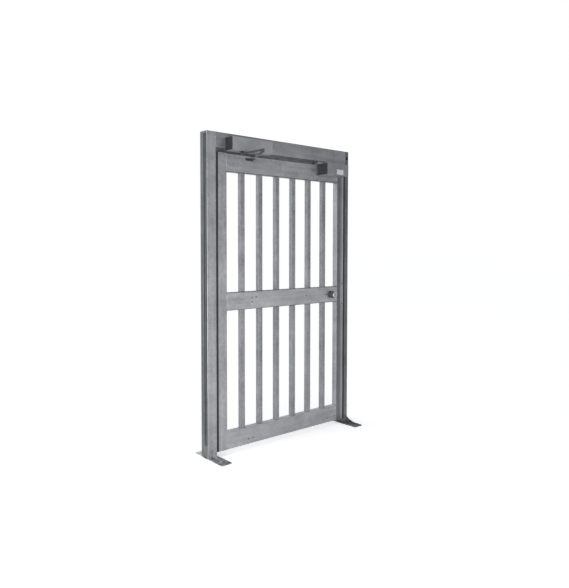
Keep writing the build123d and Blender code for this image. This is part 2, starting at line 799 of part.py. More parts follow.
with BuildPart() as magnet_coil:
    with BuildSketch(rear_plane(lock_rear - coil_slot_depth + coil_clearance)):
        for side in (-1, 1):
            with Locations((-lock_middle_x, lock_middle_z + side * slot_offset)):
                Rectangle(core_length - 2 * coil_end_gap, coil_slot - 2 * coil_clearance)
    extrude(amount=coil_slot_depth - 2 * coil_clearance)
keep(magnet_coil.part, "magnet_coil")

keep(block(lock_right - label_right_inset - label_length, lock_right - label_right_inset,
           lock_front - label_thickness, lock_front,
           lock_bottom + label_rise, lock_bottom + label_rise + label_height), "lock_label_plate")

with BuildPart() as armature_plate:
    with BuildSketch(front_plane(leaf_front)):
        with Locations((lock_middle_x, lock_middle_z)):
            RectangleRounded(armature_length, armature_height, armature_corner)
            Circle(armature_bolt_radius + bolt_clearance, mode=Mode.SUBTRACT)
    extrude(amount=armature_thickness)
    with BuildSketch(front_plane(armature_front)):
        with Locations((lock_middle_x, lock_middle_z)):
            Circle(2 * armature_bolt_radius + bolt_clearance)
    extrude(amount=-armature_head_depth - bolt_clearance, mode=Mode.SUBTRACT)
keep(armature_plate.part, "armature_plate")

with BuildPart() as armature_bolt:
    with BuildSketch(front_plane(leaf_rear + armature_bolt_tail)):
        with Locations((lock_middle_x, lock_middle_z)):
            Circle(armature_bolt_radius)
    extrude(amount=leaf_rear + armature_bolt_tail - armature_front)
    with BuildSketch(front_plane(armature_front + armature_head_depth)):
        with Locations((lock_middle_x, lock_middle_z)):
            Circle(2 * armature_bolt_radius)
    extrude(amount=armature_head_depth - armature_head_sink)
    with BuildSketch(rear_plane(leaf_rear)):
        with Locations((-lock_middle_x, lock_middle_z)):
            RegularPolygon(2 * armature_bolt_radius, 6)
    extrude(amount=2 * armature_bolt_radius)
keep(armature_bolt.part, "armature_bolt")

# ---- knob, bolt and its case ----------------------------------------------------------------------
case_front = leaf_front + leaf_wall
case_rear = bolt_y + bolt_width / 2 + case_space + case_wall
case_depth = case_rear - case_front
crank_front = bolt_y - bolt_tail / 2 - crank_thickness - bolt_clearance
tail_front = bolt_y - bolt_tail / 2

with BuildPart() as knob_rosette:
    with BuildSketch(front_plane(leaf_front)):
        with Locations((knob_x, mid_rail_middle)):
            Circle(rosette_radius)
            Circle(shaft_radius + shaft_clearance, mode=Mode.SUBTRACT)
    extrude(amount=rosette_thickness)
    chamfer(knob_rosette.edges().group_by(Axis.Y)[0].sort_by(SortBy.RADIUS)[-1], length=rosette_chamfer)
keep(knob_rosette.part, "knob_rosette")

knob_back = leaf_front - rosette_thickness - knob_gap
knob_front = leaf_front - knob_reach
knob_grip_front = knob_back - knob_grip_depth
with BuildPart() as knob:
    with BuildSketch(Plane(origin=(knob_x, 0, mid_rail_middle), x_dir=(1, 0, 0), z_dir=(0, 0, 1))):
        with BuildLine():
            Polyline((0, knob_back), (knob_radius - knob_back_bevel, knob_back),
                     (knob_radius, knob_back - knob_back_bevel), (knob_radius, knob_grip_front))
            Spline((knob_radius, knob_grip_front),
                   (knob_face_radius + knob_face_edge / 2, knob_front + knob_waist_depth),
                   (knob_face_radius, knob_front + knob_face_edge))
            Polyline((knob_face_radius, knob_front + knob_face_edge),
                     (knob_face_radius - knob_face_edge, knob_front), (0, knob_front), (0, knob_back))
        make_face()
    revolve(axis=Axis((knob_x, 0, mid_rail_middle), (0, 1, 0)))
    with BuildSketch(front_plane(knob_front)):
        with Locations((knob_x, mid_rail_middle)):
            SlotOverall(knob_slot_length, knob_slot_width, rotation=90)
    extrude(amount=-knob_slot_depth, mode=Mode.SUBTRACT)
    with BuildSketch(front_plane(knob_back)):
        with Locations((knob_x, mid_rail_middle)):
            Circle(shaft_radius)
    extrude(amount=-knob_socket_depth, mode=Mode.SUBTRACT)
keep(knob.part, "knob")

crank_x = knob_x - crank_radius * sin(pi / 4)
crank_z = mid_rail_middle + crank_radius * cos(pi / 4)
with BuildPart() as knob_shaft:
    with BuildSketch(rear_plane(knob_back)):
        with Locations((-knob_x, mid_rail_middle)):
            Circle(shaft_radius)
    extrude(amount=case_rear - case_wall - shaft_end_gap - knob_back)
    with BuildSketch(rear_plane(crank_front)):
        with Locations((-knob_x, mid_rail_middle)):
            Circle(shaft_radius + crank_boss_wall)
        with Locations((-crank_x, crank_z)):
            Circle(crank_pin_radius + crank_boss_wall)
        with Locations((-(knob_x + crank_x) / 2, (mid_rail_middle + crank_z) / 2)):
            Rectangle(2 * shaft_radius, crank_radius, rotation=45)
    extrude(amount=crank_thickness)
    with BuildSketch(rear_plane(crank_front)):
        with Locations((-crank_x, crank_z)):
            Circle(crank_pin_radius)
    extrude(amount=crank_thickness + bolt_clearance + bolt_tail - crank_pin_short)
keep(knob_shaft.part, "knob_shaft")

case_right = knob_x + case_length / 2
with BuildPart() as bolt_case:
    with BuildSketch(rear_plane(case_front)):
        with Locations((-knob_x, mid_rail_middle)):
            Rectangle(case_length, case_height)
    extrude(amount=case_depth)
    with BuildSketch(rear_plane(case_front + case_wall)):
        with Locations((-knob_x, mid_rail_middle)):
            Rectangle(case_length - 2 * case_wall, case_height - 2 * case_wall)
    extrude(amount=case_depth - 2 * case_wall, mode=Mode.SUBTRACT)
    with BuildSketch(rear_plane(case_front)):
        with Locations((-knob_x, mid_rail_middle)):
            Circle(shaft_radius + shaft_clearance)
    extrude(amount=case_wall, mode=Mode.SUBTRACT)
    with BuildSketch(Plane.YZ.offset(case_right - case_wall)):
        with Locations((bolt_y, mid_rail_middle)):
            Rectangle(bolt_width + 2 * bolt_clearance, bolt_height + 2 * bolt_clearance)
    extrude(amount=case_wall, mode=Mode.SUBTRACT)
keep(bolt_case.part, "bolt_case")

tail_left = crank_x - crank_pin_radius - bolt_tail_margin
tail_low = mid_rail_middle + shaft_radius + bolt_shaft_gap
bolt_start = case_right - case_wall - bolt_throw - bolt_end_gap
slot_half_width = crank_pin_radius + crank_pin_clearance
with BuildPart() as dead_bolt:
    with BuildSketch(Plane.YZ.offset(bolt_start)):
        with Locations((bolt_y, mid_rail_middle)):
            Rectangle(bolt_width, bolt_height)
    extrude(amount=leaf_right - bolt_start)
    with BuildSketch(rear_plane(tail_front)):
        with BuildLine():
            Polyline((-tail_left, tail_low),
                     (-tail_left, mid_rail_middle + crank_radius + bolt_tail_rise),
                     (-bolt_start, mid_rail_middle + bolt_height / 2), (-bolt_start, tail_low),
                     close=True)
        make_face()
        with Locations((-crank_x, mid_rail_middle + (crank_radius + slot_half_width) / 2)):
            Rectangle(2 * slot_half_width, crank_radius + slot_half_width, mode=Mode.SUBTRACT)
    extrude(amount=bolt_tail)
keep(dead_bolt.part, "dead_bolt")

guard_right = leaf_right - guard_edge
guard_x = guard_right - guard_width / 2
with BuildPart() as bolt_guard:
    with BuildSketch(front_plane(leaf_front)):
        with Locations((guard_x, mid_rail_middle)):
            RectangleRounded(guard_width, guard_height, guard_corner)
            with GridLocations(0, guard_screw_spacing - 2 * screw_head_radius, 1, 2):
                Circle(screw_head_radius / 2, mode=Mode.SUBTRACT)
    extrude(amount=guard_thickness)
keep(bolt_guard.part, "bolt_guard")

with BuildPart() as strike_plate:
    with BuildSketch(Plane.YZ.offset(latch_post_face - strike_thickness)):
        with Locations((bolt_y, mid_rail_middle)):
            Rectangle(strike_width, strike_height)
        with Locations((bolt_y, mid_rail_middle)):
            Rectangle(bolt_width + 2 * bolt_hole_margin, bolt_height + 2 * bolt_hole_margin,
                      mode=Mode.SUBTRACT)
    extrude(amount=strike_thickness)
keep(strike_plate.part, "strike_plate")


# ---- screws ---------------------------------------------------------------------------------------
def pan_head(x, z, y):
    """Low round screw head with a six-sided socket, seated on a face at depth y."""
    with BuildPart() as piece:
        with BuildSketch(front_plane(y)):
            with Locations((x, z)):
                Circle(screw_head_radius)
        extrude(amount=screw_head_height, taper=20)
        with BuildSketch(front_plane(y)):
            with Locations((x, z)):
                RegularPolygon(screw_socket_radius, 6)
        extrude(amount=screw_head_height, mode=Mode.SUBTRACT)
    return piece.part


guard_screw_rise = guard_screw_spacing / 2 - screw_head_radius
with BuildPart() as leaf_screws:
    for rise in (-guard_screw_rise, guard_screw_rise):
        add(pan_head(guard_x, mid_rail_middle + rise, leaf_front - guard_thickness))
    add(pan_head(shoe_left + shoe_length / 4, shoe_middle_z, leaf_front - shoe_plate))
keep(leaf_screws.part, "leaf_screws")
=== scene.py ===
# %% [markdown]
# # A galvanised pedestrian gate, finished in Blender
#
# This file is a lesson in cells. The gate's measured parts come in first, as a fixed frame, and nothing
# in that frame is moved or resized. What is added here is what the measured parts leave out: the zinc's
# spangle, the soft edges of rolled tube, the weld beads, a wound spring and the light that shows them.
# All lengths are in metres, with Z up, and X runs from the hinge post to the latch post.

# %% Load the measured gate
import math

import bmesh
import bpy
from mathutils import Euler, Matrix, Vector


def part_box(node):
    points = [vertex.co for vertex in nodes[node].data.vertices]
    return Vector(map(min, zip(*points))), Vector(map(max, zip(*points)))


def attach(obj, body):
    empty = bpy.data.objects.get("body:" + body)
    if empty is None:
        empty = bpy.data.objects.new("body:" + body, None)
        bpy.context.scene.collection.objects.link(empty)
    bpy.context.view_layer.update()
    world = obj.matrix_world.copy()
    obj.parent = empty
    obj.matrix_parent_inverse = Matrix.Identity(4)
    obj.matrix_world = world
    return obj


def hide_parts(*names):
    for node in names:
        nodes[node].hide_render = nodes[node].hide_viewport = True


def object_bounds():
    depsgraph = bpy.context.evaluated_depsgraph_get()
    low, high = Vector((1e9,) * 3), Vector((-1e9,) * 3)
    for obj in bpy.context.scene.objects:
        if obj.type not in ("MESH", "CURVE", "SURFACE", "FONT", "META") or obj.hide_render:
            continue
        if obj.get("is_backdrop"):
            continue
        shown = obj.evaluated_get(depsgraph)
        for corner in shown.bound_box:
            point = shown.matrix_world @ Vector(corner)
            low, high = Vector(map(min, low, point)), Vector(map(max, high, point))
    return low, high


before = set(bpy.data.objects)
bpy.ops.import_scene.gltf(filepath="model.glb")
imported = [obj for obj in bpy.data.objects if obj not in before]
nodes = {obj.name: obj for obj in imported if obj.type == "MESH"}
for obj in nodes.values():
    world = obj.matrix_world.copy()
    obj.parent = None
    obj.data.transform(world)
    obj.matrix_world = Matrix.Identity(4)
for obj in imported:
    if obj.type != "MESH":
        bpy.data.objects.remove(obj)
cad_low, cad_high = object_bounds()
mm = 0.001
print("parts:", len(nodes), "size:", [round(v, 3) for v in cad_high - cad_low])

# %% [markdown]
# ## Where things are
#
# Every later position is read from the boxes of named parts, so a gate of another size would still be
# dressed correctly. `low` and `high` return one corner of a part's box, and `middle` returns its
# centre.


# %% Read corners and centres of parts
def low(node):
    """Lowest corner of a part's box."""
    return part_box(node)[0]


def high(node):
    """Highest corner of a part's box."""
    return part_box(node)[1]


def middle(node):
    """Centre of a part's box."""
    return (low(node) + high(node)) / 2


print("leaf front face at y =", round(low("hinge_stile").y, 4))

# %% [markdown]
# ## The camera
#
# The gate is seen from a standing person's eye height, a little over three metres away and from the
# hinge side. A camera in Blender looks along its own -Z, so a turn of 90 degrees about X makes it
# level, a little less tips it down, and a turn about Z swings it towards the gate. A small shift slides
# the picture without changing the perspective, as the rise and fall of a view camera does.

# %% Place the camera
eye = Vector((-2.2305, -3.417, 1.436))
heading = 42.384
tip_down = 2.522
roll = 0.161
camera_data = bpy.data.cameras.new("camera")
camera_data.lens = 36.69
camera_data.sensor_width = 36.0
camera_data.shift_x = -0.0366
camera_data.shift_y = -0.0356
camera = bpy.data.objects.new("camera", camera_data)
bpy.context.scene.collection.objects.link(camera)
camera.location = eye
aim = Euler((math.radians(90 - tip_down), 0, math.radians(-heading))).to_matrix()
camera.rotation_euler = (aim @ Euler((0, 0, math.radians(roll))).to_matrix()).to_euler()
bpy.context.scene.camera = camera
print("camera at", [round(v, 2) for v in eye])

# %% [markdown]
# ## Floor, sky and lamps
#
# Zinc has little colour of its own: most of what it shows is what it reflects. A plain pale floor and a
# plain pale sky give it something even to reflect. The sky that lights the gate is a gradient, bright
# on the hinge side and dim on the latch side, so that the two visible faces of each bar come out in
# different greys. One front lamp stands near the hinge post, and its light falls off towards the latch
# post. A second background, which only camera rays see, keeps what is behind the gate plain white, and
# the standard view transform keeps it so.

# %% Build the studio
floor_reach = 40.0
sky_bright = 1.25
sky_dim = 0.18
lamp_height = 0.9
floor_mesh = bpy.data.meshes.new("studio_floor")
floor_mesh.from_pydata([(-floor_reach, -floor_reach, 0), (floor_reach, -floor_reach, 0),
                        (floor_reach, floor_reach, 0), (-floor_reach, floor_reach, 0)], [], [(0, 1, 2, 3)])
floor = bpy.data.objects.new("studio_floor", floor_mesh)
bpy.context.scene.collection.objects.link(floor)
floor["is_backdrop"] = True

bpy.context.scene.view_settings.view_transform = "Standard"
world = bpy.data.worlds.new("studio_sky")
bpy.context.scene.world = world
world.use_nodes = True
sky = world.node_tree
sky_direction = sky.nodes.new("ShaderNodeTexCoord")
sky_axes = sky.nodes.new("ShaderNodeSeparateXYZ")
sky_fade = sky.nodes.new("ShaderNodeMapRange")
sky_fade.inputs["From Min"].default_value = -1.0
sky_fade.inputs["To Min"].default_value = sky_bright
sky_fade.inputs["To Max"].default_value = sky_dim
lighting = sky.nodes["Background"]
lighting.inputs["Color"].default_value = (0.97, 0.98, 1.0, 1)
backdrop = sky.nodes.new("ShaderNodeBackground")
backdrop.inputs["Color"].default_value = (1, 1, 1, 1)
camera_ray = sky.nodes.new("ShaderNodeLightPath")
sky_choice = sky.nodes.new("ShaderNodeMixShader")
sky.links.new(sky_direction.outputs["Generated"], sky_axes.inputs["Vector"])
sky.links.new(sky_axes.outputs["X"], sky_fade.inputs["Value"])
sky.links.new(sky_fade.outputs["Result"], lighting.inputs["Strength"])
sky.links.new(camera_ray.outputs["Is Camera Ray"], sky_choice.inputs[0])
sky.links.new(lighting.outputs[0], sky_choice.inputs[1])
sky.links.new(backdrop.outputs[0], sky_choice.inputs[2])
sky.links.new(sky_choice.outputs[0], sky.nodes["World Output"].inputs["Surface"])


def area_lamp(name, place, target, size, watts):
    """Square area lamp at a place, turned towards a target."""
    data = bpy.data.lights.new(name, "AREA")
    data.size = size
    data.energy = watts
    lamp = bpy.data.objects.new(name, data)
    bpy.context.scene.collection.objects.link(lamp)
    lamp.location = place
    lamp.rotation_euler = (Vector(target) - Vector(place)).to_track_quat("-Z", "Y").to_euler()
    return lamp


gate_middle = (cad_low + cad_high) / 2
area_lamp("side_lamp", (-3.2, -0.6, lamp_height), gate_middle, size=1.4, watts=26)
area_lamp("front_lamp", (-1.0, -2.4, lamp_height), (0.2, 0, lamp_height), size=1.2, watts=34)

# %% [markdown]
# ## Building blocks for materials
#
# A node group is to a material what a function is to a script: it is built once, has named inputs and
# outputs, and each material places it with its own values. The helpers below keep that building short.
# `group` makes an empty group with its sockets, and `wire` adds a node, sets its values and joins its
# inputs in one call. A Mix node has sockets for numbers and others for colours, so the colour ones are
# given names here.


# %% Helpers for node trees
mix_factor, mix_first_colour, mix_second_colour, mix_colour_result = 0, 6, 7, 2


def group(name, inputs, outputs):
    """Empty shader group with float or colour sockets: returns the group, its input and its output node."""
    tree = bpy.data.node_groups.new(name, "ShaderNodeTree")
    for title, value in inputs.items():
        kind = "NodeSocketColor" if isinstance(value, tuple) else "NodeSocketFloat"
        socket = tree.interface.new_socket(title, in_out="INPUT", socket_type=kind)
        socket.default_value = value
    for title, kind in outputs.items():
        tree.interface.new_socket(title, in_out="OUTPUT", socket_type=f"NodeSocket{kind}")
    return tree, tree.nodes.new("NodeGroupInput"), tree.nodes.new("NodeGroupOutput")


def wire(tree, kind, values=None, links=None, **settings):
    """Add a node, set its attributes and its plain values, and join sockets given as {input: source}."""
    made = tree.nodes.new(f"ShaderNode{kind}")
    for key, value in settings.items():
        setattr(made, key, value)
    for key, value in (values or {}).items():
        made.inputs[key].default_value = value
    for key, source in (links or {}).items():
        tree.links.new(source, made.inputs[key])
    return made


def blend_colours(tree, factor, first, second):
    """Mix two colour sockets or colours by a factor socket, and return the mixed colour."""
    mix = wire(tree, "Mix", data_type="RGBA")
    for index, source in ((mix_factor, factor), (mix_first_colour, first), (mix_second_colour, second)):
        if isinstance(source, tuple):
            mix.inputs[index].default_value = source
        else:
            tree.links.new(source, mix.inputs[index])
    return mix.outputs[mix_colour_result]


print("helpers ready")

# %% [markdown]
# ## Zinc spangle
#
# Hot-dip zinc freezes into flat crystals. Each crystal has its own tilt, so each has its own grey and
# its own gloss. A Voronoi texture gives the crystals: its Color output is one random colour per cell. A
# broad noise clouds them, because the bath cools unevenly, and a stretched noise gives the faint runs
# of zinc that drain along a tube: its small number is the direction of the run, Up for a post or bar
# and Across for a rail. The group works in object coordinates, which here are metres on the real gate.

# %% Group: zinc spangle
run_fine = 34.0
run_long = 1.6
run_share = 0.42
crystal_share = 0.30
pit_share = 0.35
zinc, zinc_in, zinc_out = group(
    "zinc_spangle",
    {"Light": (0.5, 0.5, 0.5, 1), "Dark": (0.3, 0.3, 0.3, 1), "Crystal Scale": 95.0, "Contrast": 0.5,
     "Across": run_fine, "Up": run_long},
    {"Color": "Color", "Roughness": "Float", "Height": "Float"})
place = wire(zinc, "TexCoord").outputs["Object"]
warp = wire(zinc, "TexNoise", {"Scale": 38.0, "Detail": 2.0}, {"Vector": place})
bent = wire(zinc, "VectorMath", {"Scale": 0.016}, {0: warp.outputs["Color"]}, operation="SCALE")
bent = wire(zinc, "VectorMath", links={0: place, 1: bent.outputs[0]}, operation="ADD").outputs[0]
crystals = wire(zinc, "TexVoronoi", links={"Vector": bent, "Scale": zinc_in.outputs["Crystal Scale"]})
crystal = wire(zinc, "SeparateColor", links={"Color": crystals.outputs["Color"]}).outputs["Red"]
clouds = wire(zinc, "TexNoise", {"Scale": 7.0, "Detail": 6.0, "Roughness": 0.62}, {"Vector": place})
drain = wire(zinc, "CombineXYZ", {"Y": run_fine},
             {"X": zinc_in.outputs["Across"], "Z": zinc_in.outputs["Up"]})
drained = wire(zinc, "VectorMath", links={0: place, 1: drain.outputs[0]}, operation="MULTIPLY")
runs = wire(zinc, "TexNoise", {"Scale": 1.0, "Detail": 4.0}, {"Vector": drained.outputs[0]})
clouds_wide = wire(zinc, "MapRange", {"From Min": 0.3, "From Max": 0.7}, {"Value": clouds.outputs["Fac"]})
runs_wide = wire(zinc, "MapRange", {"From Min": 0.32, "From Max": 0.68}, {"Value": runs.outputs["Fac"]})
mixed = wire(zinc, "Mix", {0: run_share}, {2: clouds_wide.outputs[0], 3: runs_wide.outputs[0]})
mixed = wire(zinc, "Mix", {0: crystal_share}, {2: mixed.outputs[0], 3: crystal})
spread = wire(zinc, "MapRange", {"From Min": 0.18, "From Max": 0.82}, {"Value": mixed.outputs[0]})
centred = wire(zinc, "Math", {1: -0.5}, {0: spread.outputs[0]}, operation="ADD")
scaled = wire(zinc, "Math", links={0: centred.outputs[0], 1: zinc_in.outputs["Contrast"]},
              operation="MULTIPLY")
tone = wire(zinc, "Math", {1: 0.5}, {0: scaled.outputs[0]}, operation="ADD", use_clamp=True).outputs[0]
zinc.links.new(blend_colours(zinc, tone, zinc_in.outputs["Dark"], zinc_in.outputs["Light"]),
               zinc_out.inputs["Color"])
gloss = wire(zinc, "MapRange", {"To Min": 0.42, "To Max": 0.60}, {"Value": crystal})
zinc.links.new(gloss.outputs[0], zinc_out.inputs["Roughness"])
pits = wire(zinc, "TexNoise", {"Scale": 420.0, "Detail": 3.0}, {"Vector": place})
relief = wire(zinc, "Mix", {0: pit_share}, {2: clouds.outputs["Fac"], 3: pits.outputs["Fac"]})
zinc.links.new(relief.outputs[0], zinc_out.inputs["Height"])
print("group:", zinc.name)

# %% [markdown]
# ## Grain, ground dust, settled grime and a painted highlight band
#
# Four more effects are made as groups. Fine grain is the small unevenness of paint, moulded plastic and
# rolled metal: a noise that can be stretched along X for brushed work. Ground dust is the pale film
# that rain splashes on to whatever stands near the ground: a mask that is strong at the floor, fades
# upward and is broken by noise. Settled grime is the dark dirt that lies on ledges: a mask from the
# part of the normal that points up. A painted highlight band is brighter zinc, painted where light falls
# on the latch side of the leaf and on the back of the left foot plate: a mask that grows from one X, or
# one Y, to another, in upright streaks.

# %% Groups: fine grain, ground dust, settled grime and painted highlight band
speck_share = 0.5
streak_scale = (60.0, 60.0, 2.5)
grain, grain_in, grain_out = group(
    "fine_grain", {"Scale": 300.0, "Stretch": 1.0, "Low": 0.4, "High": 0.6},
    {"Value": "Float", "Height": "Float"})
place = wire(grain, "TexCoord").outputs["Object"]
stretch = wire(grain, "CombineXYZ", {"Y": 1.0, "Z": 1.0}, {"X": grain_in.outputs["Stretch"]})
pulled = wire(grain, "VectorMath", links={0: place, 1: stretch.outputs[0]}, operation="MULTIPLY")
speck = wire(grain, "TexNoise", {"Detail": 4.0},
             {"Vector": pulled.outputs[0], "Scale": grain_in.outputs["Scale"]})
patch = wire(grain, "TexNoise", {"Scale": 14.0, "Detail": 3.0}, {"Vector": place})
both = wire(grain, "Mix", {0: speck_share}, {2: speck.outputs["Fac"], 3: patch.outputs["Fac"]})
ranged = wire(grain, "MapRange", {"From Min": 0.3, "From Max": 0.7},
              {"Value": both.outputs[0], "To Min": grain_in.outputs["Low"],
               "To Max": grain_in.outputs["High"]})
grain.links.new(ranged.outputs[0], grain_out.inputs["Value"])
grain.links.new(speck.outputs["Fac"], grain_out.inputs["Height"])

dust, dust_in, dust_out = group("ground_dust", {"Reach": 0.25, "Amount": 0.5}, {"Mask": "Float"})
place = wire(dust, "TexCoord").outputs["Object"]
height = wire(dust, "SeparateXYZ", links={"Vector": place}).outputs["Z"]
fade = wire(dust, "MapRange", {"From Min": 0.0, "To Min": 1.0, "To Max": 0.0},
            {"Value": height, "From Max": dust_in.outputs["Reach"]}, interpolation_type="SMOOTHSTEP")
broken = wire(dust, "TexNoise", {"Scale": 22.0, "Detail": 6.0}, {"Vector": place})
torn = wire(dust, "MapRange", {"From Min": 0.35, "From Max": 0.7}, {"Value": broken.outputs["Fac"]})
film = wire(dust, "Math", links={0: fade.outputs[0], 1: torn.outputs[0]}, operation="MULTIPLY")
film = wire(dust, "Math", links={0: film.outputs[0], 1: dust_in.outputs["Amount"]}, operation="MULTIPLY")
dust.links.new(film.outputs[0], dust_out.inputs["Mask"])

grime, grime_in, grime_out = group("settled_grime", {"Amount": 0.6}, {"Mask": "Float"})
place = wire(grime, "TexCoord")
upward = wire(grime, "SeparateXYZ", links={"Vector": place.outputs["Normal"]}).outputs["Z"]
ledge = wire(grime, "MapRange", {"From Min": 0.35, "From Max": 0.9}, {"Value": upward})
drift = wire(grime, "TexNoise", {"Scale": 30.0, "Detail": 5.0}, {"Vector": place.outputs["Object"]})
drift = wire(grime, "MapRange", {"From Min": 0.3, "From Max": 0.62, "To Min": 0.35},
             {"Value": drift.outputs["Fac"]})
settled = wire(grime, "Math", links={0: ledge.outputs[0], 1: drift.outputs[0]}, operation="MULTIPLY")
settled = wire(grime, "Math", links={0: settled.outputs[0], 1: grime_in.outputs["Amount"]},
               operation="MULTIPLY")
grime.links.new(settled.outputs[0], grime_out.inputs["Mask"])

# Painted highlight band: a mask for brighter zinc, painted where light falls.
highlight_band, highlight_band_in, highlight_band_out = group("painted_highlight_band", {"Dull": 0.0, "Bright": 1.0, "Along Y": 0.0}, {"Mask": "Float"})
place = wire(highlight_band, "TexCoord").outputs["Object"]
highlight_band_axes = wire(highlight_band, "SeparateXYZ", links={"Vector": place})
highlight_band_along = wire(highlight_band, "Mix", links={0: highlight_band_in.outputs["Along Y"], 2: highlight_band_axes.outputs["X"],
                                    3: highlight_band_axes.outputs["Y"]}).outputs[0]
highlight_mask = wire(highlight_band, "MapRange", links={"Value": highlight_band_along, "From Min": highlight_band_in.outputs["Dull"],
                                      "From Max": highlight_band_in.outputs["Bright"]},
              interpolation_type="SMOOTHSTEP")
streaks = wire(highlight_band, "VectorMath", {1: streak_scale}, {0: place}, operation="MULTIPLY")
streaks = wire(highlight_band, "TexNoise", {"Scale": 1.0, "Detail": 4.0}, {"Vector": streaks.outputs[0]})
streaks = wire(highlight_band, "MapRange", {"From Min": 0.3, "From Max": 0.6, "To Min": 0.45},
               {"Value": streaks.outputs["Fac"]})
highlight_mask = wire(highlight_band, "Math", links={0: highlight_mask.outputs[0], 1: streaks.outputs[0]}, operation="MULTIPLY")
highlight_band.links.new(highlight_mask.outputs[0], highlight_band_out.inputs["Mask"])
print("groups:", grain.name, dust.name, grime.name, highlight_band.name)

# %% [markdown]
# ## From groups to materials
#
# Each kind of finish is one function. It starts from a Principled shader, sets what is even all over on the
# shader's own sockets, and joins a group to what varies. Bump turns the group's height into small
# changes of the normal.


# %% Functions that make a finish
dust_colour = (0.60, 0.60, 0.58, 1)
dust_reach = 0.30
grime_colour = (0.075, 0.075, 0.072, 1)
zinc_bump = 0.22
zinc_relief = 0.0012
grain_relief = 0.0004


def grey(value):
    """Grey with a slight cold cast: a little less red and a little more blue."""
    return (value * 0.985, value, value * 1.04, 1)


def start_material(name, **shader_values):
    """Material with a Principled shader: returns the material, its node tree and the shader."""
    material = bpy.data.materials.new(name)
    material.use_nodes = True
    tree = material.node_tree
    shader = tree.nodes["Principled BSDF"]
    for key, value in shader_values.items():
        shader.inputs[key.replace("_", " ")].default_value = value
    return material, tree, shader


def place_group(tree, source, **values):
    """Place a node group in a material, with its own values."""
    made = tree.nodes.new("ShaderNodeGroup")
    made.node_tree = source
    for key, value in values.items():
        made.inputs[key.replace("_", " ")].default_value = value
    return made


def add_bump(tree, shader, height_socket, strength, distance):
    """Join a height to the shader's normal."""
    bump = wire(tree, "Bump", {"Strength": strength, "Distance": distance}, {"Height": height_socket})
    tree.links.new(bump.outputs["Normal"], shader.inputs["Normal"])


def spangled(name, light, dark, contrast=0.75, scale=95.0, across=run_fine, up=run_long, dust_amount=0.22,
             grime_amount=0.5, band=None, band_along_y=0.0, band_light=0.50):
    """Hot-dip zinc, with dust near the ground, grime on ledges and, between two places, a painted highlight
    band.
    """
    material, tree, shader = start_material(name, Metallic=0.78)
    zinc_node = place_group(tree, zinc, Light=light, Dark=dark, Contrast=contrast, Crystal_Scale=scale,
                            Across=across, Up=up)
    dust_node = place_group(tree, dust, Reach=dust_reach, Amount=dust_amount)
    dusty = blend_colours(tree, dust_node.outputs["Mask"], zinc_node.outputs["Color"], dust_colour)
    grime_node = place_group(tree, grime, Amount=grime_amount)
    dirt_and_highlight = blend_colours(tree, grime_node.outputs["Mask"], dusty, grime_colour)
    # Between the band's two places the zinc is painted brighter: a painted highlight.
    if band:
        highlight_band_node = place_group(tree, highlight_band, Dull=band[0], Bright=band[1], Along_Y=band_along_y)
        dirt_and_highlight = blend_colours(tree, highlight_band_node.outputs["Mask"], dirt_and_highlight, grey(band_light))
    tree.links.new(dirt_and_highlight, shader.inputs["Base Color"])
    tree.links.new(zinc_node.outputs["Roughness"], shader.inputs["Roughness"])
    add_bump(tree, shader, zinc_node.outputs["Height"], zinc_bump, zinc_relief)
    return material


def grained(name, light, dark, smooth, dull, scale=300.0, stretch=1.0, bump=0.1, **shader_values):
    """Paint, plastic, rubber or plated metal: a fine grain moves the colour and the roughness a little."""
    material, tree, shader = start_material(name, **shader_values)
    grain_node = place_group(tree, grain, Scale=scale, Stretch=stretch, Low=0.0, High=1.0)
    value = grain_node.outputs["Value"]
    tree.links.new(blend_colours(tree, value, dark, light), shader.inputs["Base Color"])
    rough = wire(tree, "MapRange", {"To Min": smooth, "To Max": dull}, {"Value": value})
    tree.links.new(rough.outputs[0], shader.inputs["Roughness"])
    add_bump(tree, shader, grain_node.outputs["Height"], bump, grain_relief)
    return material


print("finish functions ready")

# %% [markdown]
# ## The finishes
#
# All the steel is hot-dip zinc, mixed once for each kind of piece as lit and shaded copies, which are
# painted light and shade: the rails are brightest, the header and the bars darker, and what stands in a
# gap, in a groove, at the latch side or on the ground there is darker still. On rails, the runs of
# zinc lie across. A tube's corners have a finish of their own.

# %% Mix the zinc finishes
along_rail = {"across": run_long, "up": run_fine}
# The zincs for the stiles, rails, header and bars are lit and shaded copies: their greys are painted light
# and shade, brightest on the mid rail and darkest on the header and bars.
steel = spangled("galvanised_steel", grey(0.52), grey(0.26))
rail_steel = spangled("galvanised_rail", grey(0.53), grey(0.29), contrast=0.8, grime_amount=0.12,
                      **along_rail)
mid_rail_steel = spangled("galvanised_mid_rail", grey(0.58), grey(0.33), contrast=0.8, grime_amount=0.12,
                          **along_rail)
# The tops of the two lower rails: a much lighter copy of the zinc, a painted highlight.
ledge_highlight_steel = spangled("galvanised_ledge_highlight", grey(0.88), grey(0.52), contrast=0.8, grime_amount=0.05,
                       **along_rail)
header_steel = spangled("galvanised_header", grey(0.44), grey(0.23), contrast=0.7, **along_rail)
steel_edge = spangled("galvanised_corner", grey(0.50), grey(0.30), contrast=0.5, grime_amount=0.0)
bar_steel = spangled("bar_zinc", grey(0.46), grey(0.21), contrast=0.9)
# Darker zinc for the bars' rounded corners: painted shade.
bar_corner_shade = spangled("bar_corner_zinc", grey(0.30), grey(0.14), contrast=0.7)
# Dark zinc for the left post's side faces: painted shade.
shaded_steel = spangled("post_side_shade_zinc", grey(0.25), grey(0.13), contrast=0.8)
